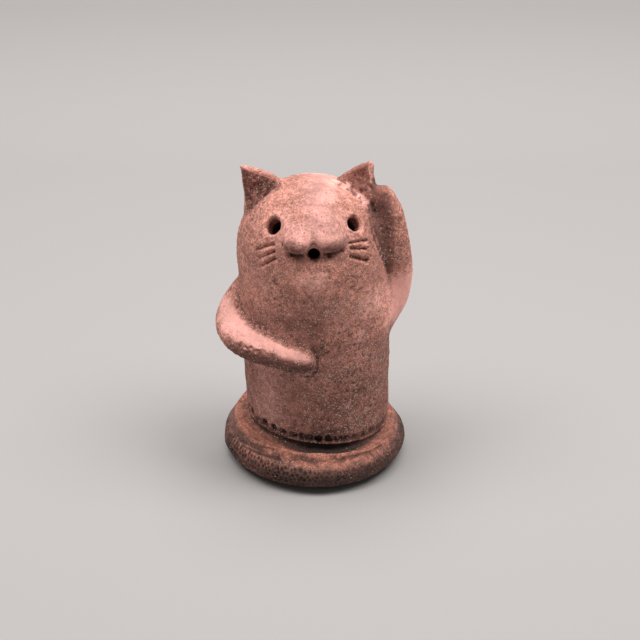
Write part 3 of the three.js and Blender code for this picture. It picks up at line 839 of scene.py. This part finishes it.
def terracotta(clay):
    """Fired sandy clay, with painted light and shade from the vertex zones. It gives the eye a dry,
    matt pink-brown skin full of grit.
    """
    material = bpy.data.materials.new("terracotta")
    material.use_nodes = True
    tree = material.node_tree
    tree.nodes.clear()
    maths, ramp, mix = "ShaderNodeMath", "ShaderNodeMapRange", "ShaderNodeMix"
    place = add(tree, "ShaderNodeTexCoord", out="Object")
    mm = add(tree, "ShaderNodeVectorMath", {0: place, "Scale": 1 / MM}, operation="SCALE")

    # Sand of about 0.3 mm, lumps of 1.5 mm and the broad patches of one firing
    noise_of = {}
    for name, size, rough in (("fine", 0.33, 0.6), ("middling", 1.5, 0.6), ("broad", 8.0, 0.5)):
        noise_of[name] = add(
            tree, "ShaderNodeTexNoise",
            {"Vector": mm, "Scale": 1 / size, "Detail": 3.0, "Roughness": rough}, out="Fac",
        )
    fine, middling, broad = noise_of.values()
    zone = {}
    names = ("rubbed", "torn", "dark", "wash", "wear", "grit", "cavity", "top", "tone", "gap")
    for name in names:
        zone[name] = add(tree, "ShaderNodeAttribute", out="Fac", attribute_name=name)

    # Each zone's edge is broken up by noise before its colour goes on
    ragged = {}
    for name, noise_used, share in (
        ("rubbed", middling, 0.9), ("rubbed", broad, 0.7),
        ("dark", middling, 0.7), ("wash", middling, 0.8),
    ):
        shift = {0: noise_used, 1: share, 2: -0.5 * share}
        moved = add(tree, maths, shift, operation="MULTIPLY_ADD")
        edge = ragged.get(name, zone[name])
        ragged[name] = add(tree, maths, {0: edge, 1: moved}, operation="ADD")

    # The base's wash, worn off its ridges, in broad patches and over its upper face, where the
    # lighter colour is partly painted light

    worn = (*clay.worn, 1.0)
    washed = (*clay.wash, 1.0)
    for noise_used, share, base, low, high, least, most, where in (
        (fine, 0.35, zone["wear"], 0.725, 0.975, 0.0, 1.0, 1.0),
        (broad, 0.6, middling, 0.55, 1.1, 0.0, 0.35, 1.0),
        (broad, 1.0, middling, 0.7, 1.2, 0.45, 1.0, zone["top"]),
    ):
        blend = add(tree, maths, {0: noise_used, 1: share, 2: base}, operation="MULTIPLY_ADD")
        ends = {0: blend, 1: low, 2: high, 3: least, 4: most}
        blend = add(tree, ramp, ends, interpolation_type="SMOOTHSTEP")
        blend = add(tree, maths, {0: blend, 1: where}, operation="MULTIPLY")
        washed = add(tree, mix, {0: blend, 6: washed, 7: worn}, out=2, data_type="RGBA")

    skin = (*clay.sand, 1.0)
    for name, low, high, over in (
        ("rubbed", 0.05, 0.95, (*clay.pink, 1.0)),
        ("dark", 0.15, 0.8, (*clay.torn, 1.0)),
        ("wash", 0.3, 0.7, washed),
    ):
        ends = {0: ragged[name], 1: low, 2: high}
        blend = add(tree, ramp, ends, interpolation_type="SMOOTHSTEP")
        skin = add(tree, mix, {0: blend, 6: skin, 7: over}, out=2, data_type="RGBA")

    # Grains, marked by the middles of some cells: their size in millimetres and how many
    rubbed, cavity = zone["rubbed"], zone["cavity"]
    ends = {0: broad, 1: 0.4, 2: 0.6, 3: 0.1, 4: 0.34}
    patches = add(tree, ramp, ends, interpolation_type="SMOOTHSTEP")
    grains = []
    for size, many in (
        (0.62, add(tree, maths, {0: rubbed, 1: -0.22, 2: 0.22}, operation="MULTIPLY_ADD")),
        (0.36, add(tree, maths, {0: zone["grit"], 1: patches}, operation="MULTIPLY")),
        (0.34, add(tree, maths, {0: zone["torn"], 1: 0.07, 2: 0.014}, operation="MULTIPLY_ADD")),
        (1.7, 0.16),
    ):
        cells = {"Vector": mm, "Scale": 1 / size}
        away = add(tree, "ShaderNodeTexVoronoi", cells, out="Distance")
        chance = add(tree, "ShaderNodeSeparateColor", {0: away.node.outputs["Color"]})
        inside = add(tree, ramp, {0: away, 1: 0.5, 2: 0.36}, interpolation_type="SMOOTHSTEP")
        chosen = add(tree, maths, {0: chance, 1: many}, operation="ADD")
        chosen = add(tree, maths, {0: chosen, 1: 1.0}, operation="GREATER_THAN")
        grains.append(add(tree, maths, {0: inside, 1: chosen}, operation="MULTIPLY"))
    dark_grains, sparks, torn_sparks, pits = grains
    solid = add(tree, maths, {0: 1.0, 1: cavity}, operation="SUBTRACT")
    sparks = add(tree, maths, {0: sparks, 1: torn_sparks}, operation="MAXIMUM")
    sparks = add(tree, maths, {0: sparks, 1: solid}, operation="MULTIPLY")

    # Shading of the colour, weaker where the clay is rubbed, with single grains of 0.3 mm, then
    # painted shade in grooves, painted light and shade in broad passages, and painted shade in
    # recesses
    fleck = add(tree, "ShaderNodeTexVoronoi", {"Vector": mm, "Scale": 1 / 0.3}, out="Color")
    fleck = add(tree, "ShaderNodeSeparateColor", {0: fleck}, out=1)
    grainy = add(tree, maths, {0: rubbed, 1: -0.7, 2: 1.0}, operation="MULTIPLY_ADD")
    for value, low, high, least, most, curve, share in (
        (fine, 0.25, 0.75, 0.74, 1.26, "SMOOTHSTEP", grainy),
        (fleck, 0.0, 1.0, 0.7, 1.3, "SMOOTHSTEP", grainy),
        (middling, 0.3, 0.7, 0.76, 1.24, "SMOOTHSTEP", grainy),
        (zone["wear"], 0.0, 0.5, 0.35, 1.0, "SMOOTHSTEP", 1.0),
        (zone["tone"], 0.0, 1.0, 0.3, 1.7, "LINEAR", 1.0),
        (zone["gap"], 0.0, 1.0, 1.0, 0.2, "LINEAR", 1.0),
    ):
        ends = {0: value, 1: low, 2: high, 3: least, 4: most}
        shade = add(tree, ramp, ends, interpolation_type=curve)
        layer = {0: share, 6: skin, 7: shade}
        skin = add(tree, mix, layer, out=2, data_type="RGBA", blend_type="MULTIPLY")
    # Dark grains of wash, pale grit, and the painted shade inside the hollow
    for value, most, tint in (
        (dark_grains, 0.5, clay.wash),
        (sparks, 0.75, clay.grit),
        (cavity, 0.9, linear(HOLLOW_SHADE)),
    ):
        share = add(tree, maths, {0: value, 1: most}, operation="MULTIPLY")
        skin = add(tree, mix, {0: share, 6: skin, 7: (*tint, 1.0)}, out=2, data_type="RGBA")

    # Relief of the grain, calmer where it was rubbed, and a duller or glossier skin
    height = 0.0
    for value, share in ((fine, 0.9), (middling, 0.8), (sparks, 0.5), (pits, -0.8)):
        height = add(tree, maths, {0: value, 1: share, 2: height}, operation="MULTIPLY_ADD")
    calm = add(tree, maths, {0: rubbed, 1: -0.55, 2: 1.0}, operation="MULTIPLY_ADD")
    height = add(tree, maths, {0: height, 1: calm}, operation="MULTIPLY")
    relief = add(tree, "ShaderNodeBump", {"Strength": 0.9, "Distance": 0.0003, "Height": height})
    dull = 0.88
    for value, share in ((sparks, -0.5), (zone["wash"], -0.26)):
        dull = add(tree, maths, {0: value, 1: share, 2: dull}, operation="MULTIPLY_ADD")
    surface = add(
        tree, "ShaderNodeBsdfPrincipled",
        {"Base Color": skin, "Roughness": dull, "Normal": relief, "Specular IOR Level": 0.45},
    )
    add(tree, "ShaderNodeOutputMaterial", {"Surface": surface})
    return material


class HANIWA_OT_clay(bpy.types.Operator):
    """Build the clay cat from the frame's solid"""

    bl_idname = "haniwa.clay"
    bl_label = "Build clay cat"
    bl_options = {"REGISTER", "UNDO"}

    def execute(self, context):
        sizes = context.scene.haniwa_clay
        clay = Clay(sizes)
        clay.rub()
        clay.refine(fine_places)
        clay.open_holes()
        clay.body_swell()
        clay.muzzle()
        clay.whiskers()
        clay.arms()
        clay.seam()
        clay.base_marks()
        clay.unevenness()
        clay.paint()
        clay.thin()
        clay.mesh.materials.clear()
        clay.mesh.materials.append(terracotta(sizes))
        clay.mesh.name = "haniwa_cat_clay"
        cat = bpy.data.objects.new("haniwa_cat_clay", clay.mesh)
        context.scene.collection.objects.link(cat)
        if not clay.mesh.vertices:
            raise RuntimeError("the clay piece came out empty")
        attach(cat, "root")
        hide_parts(NODE)
        return {"FINISHED"}


def fine_places(co):
    """Faces that carry small marks: the face, the ears, the seam and the base's edge."""
    bearing, z, out = chart(co)
    face = (np.abs(bearing) < 56) & (z > 60.5) & (z < 76) & (out > -1.5)
    ears = z > 78.2
    seam = (z > 9.5) & (z < 16.5) & (out > -2)
    radius = np.hypot(co[:, 0], co[:, 1])
    edge = (radius > 22) & (z > 0.4)
    return face | ears | seam | edge


def light(name, place, target, size, power):
    """Hangs one soft square lamp that points at its target."""
    lamp = bpy.data.lights.new(name, "AREA")
    lamp.shape = "SQUARE"
    lamp.size = size
    lamp.energy = power
    lamp.color = LAMP_TINT
    holder = bpy.data.objects.new(name, lamp)
    holder.location = place
    holder.rotation_euler = (Vector(target) - Vector(place)).to_track_quat("-Z", "Y").to_euler()
    bpy.context.scene.collection.objects.link(holder)


class HANIWA_OT_stage(bpy.types.Operator):
    """Lay the pale table, hang the soft lamps and set the camera"""

    bl_idname = "haniwa.stage"
    bl_label = "Build stage"
    bl_options = {"REGISTER", "UNDO"}

    def execute(self, context):
        stage = context.scene.haniwa_stage
        sweep(stage)
        for name, place, target, share, power in LAMPS:
            light(name, place, target, stage.lamp_size * share, getattr(stage, power))
        world = bpy.data.worlds.new("soft room")
        world.use_nodes = True
        world.node_tree.nodes["Background"].inputs["Color"].default_value = ROOM_TINT
        world.node_tree.nodes["Background"].inputs["Strength"].default_value = stage.fill
        context.scene.world = world
        data = bpy.data.cameras.new("camera")
        data.lens = stage.lens
        data.sensor_width = 36.0
        data.clip_start = 0.01
        data.dof.use_dof = False
        camera = bpy.data.objects.new("camera", data)
        back = Vector((0, -math.cos(stage.elevation), math.sin(stage.elevation)))
        camera.location = Vector(stage.aim) + back * stage.distance
        camera.rotation_euler = (math.pi / 2 - stage.elevation, 0, 0)
        context.scene.collection.objects.link(camera)
        context.scene.camera = camera
        context.scene.view_settings.view_transform = "Standard"
        context.scene.view_settings.look = "None"
        return {"FINISHED"}


def sweep(stage):
    """A sheet that lies flat under the cat and rises over a low step behind it."""
    turns = [STEP_SLOPE * i / STEP_PARTS for i in range(STEP_PARTS + 1)]
    profile = [(STEP_START, 0.0)]
    for a in turns[1:]:
        profile.append((STEP_START + STEP_BEND * math.sin(a), STEP_BEND * (1 - math.cos(a))))
    y, z = profile[-1]
    for a in reversed(turns[:-1]):
        away = STEP_SHOULDER * (math.sin(STEP_SLOPE) - math.sin(a))
        up = STEP_SHOULDER * (math.cos(a) - math.cos(STEP_SLOPE))
        profile.append((y + away, z + up))
    profile.append((TABLE_BACK, profile[-1][1]))

    bm = bmesh.new()
    y, z = TABLE_FRONT, 0.0
    edge = bm.edges.new([bm.verts.new((x, y, z)) for x in (-TABLE_HALF, TABLE_HALF)])
    for next_y, next_z in profile:
        drawn = bmesh.ops.extrude_edge_only(bm, edges=[edge])["geom"]
        edge = next(part for part in drawn if isinstance(part, bmesh.types.BMEdge))
        bmesh.ops.translate(bm, vec=(0, next_y - y, next_z - z), verts=edge.verts)
        y, z = next_y, next_z
    bmesh.ops.recalc_face_normals(bm, faces=bm.faces)
    for face in bm.faces:
        face.smooth = True
    mesh = bpy.data.meshes.new("table")
    bm.to_mesh(mesh)
    bm.free()
    table = bpy.data.objects.new("table", mesh)
    bpy.context.scene.collection.objects.link(table)

    # Matt paper. It gives the eye an even pale ground without a shine
    paper = bpy.data.materials.new("matt paper")
    paper.use_nodes = True
    surface = paper.node_tree.nodes["Principled BSDF"]
    surface.inputs["Base Color"].default_value = (*stage.table, 1.0)
    surface.inputs["Roughness"].default_value = 0.8
    mesh.materials.append(paper)
    return table


class HANIWA_PT_panel(bpy.types.Panel):
    """Sizes and buttons for the clay cat"""

    bl_label = "Haniwa cat"
    bl_idname = "HANIWA_PT_panel"
    bl_space_type = "VIEW_3D"
    bl_region_type = "UI"
    bl_category = "Haniwa cat"

    def draw(self, context):
        scene = context.scene
        for group, button in (
            (scene.haniwa_clay, "haniwa.clay"),
            (scene.haniwa_stage, "haniwa.stage"),
        ):
            box = self.layout.box()
            for name in group.__annotations__:
                box.prop(group, name)
            box.operator(button)


CLASSES = (HaniwaClay, HaniwaStage, HANIWA_OT_clay, HANIWA_OT_stage, HANIWA_PT_panel)


def register():
    for kind in CLASSES:
        bpy.utils.register_class(kind)
    bpy.types.Scene.haniwa_clay = PointerProperty(type=HaniwaClay)
    bpy.types.Scene.haniwa_stage = PointerProperty(type=HaniwaStage)


def unregister():
    del bpy.types.Scene.haniwa_stage
    del bpy.types.Scene.haniwa_clay
    for kind in reversed(CLASSES):
        bpy.utils.unregister_class(kind)


def main():
    register()
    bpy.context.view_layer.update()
    bpy.ops.haniwa.clay()
    bpy.ops.haniwa.stage()


if __name__ == "__main__":
    main()
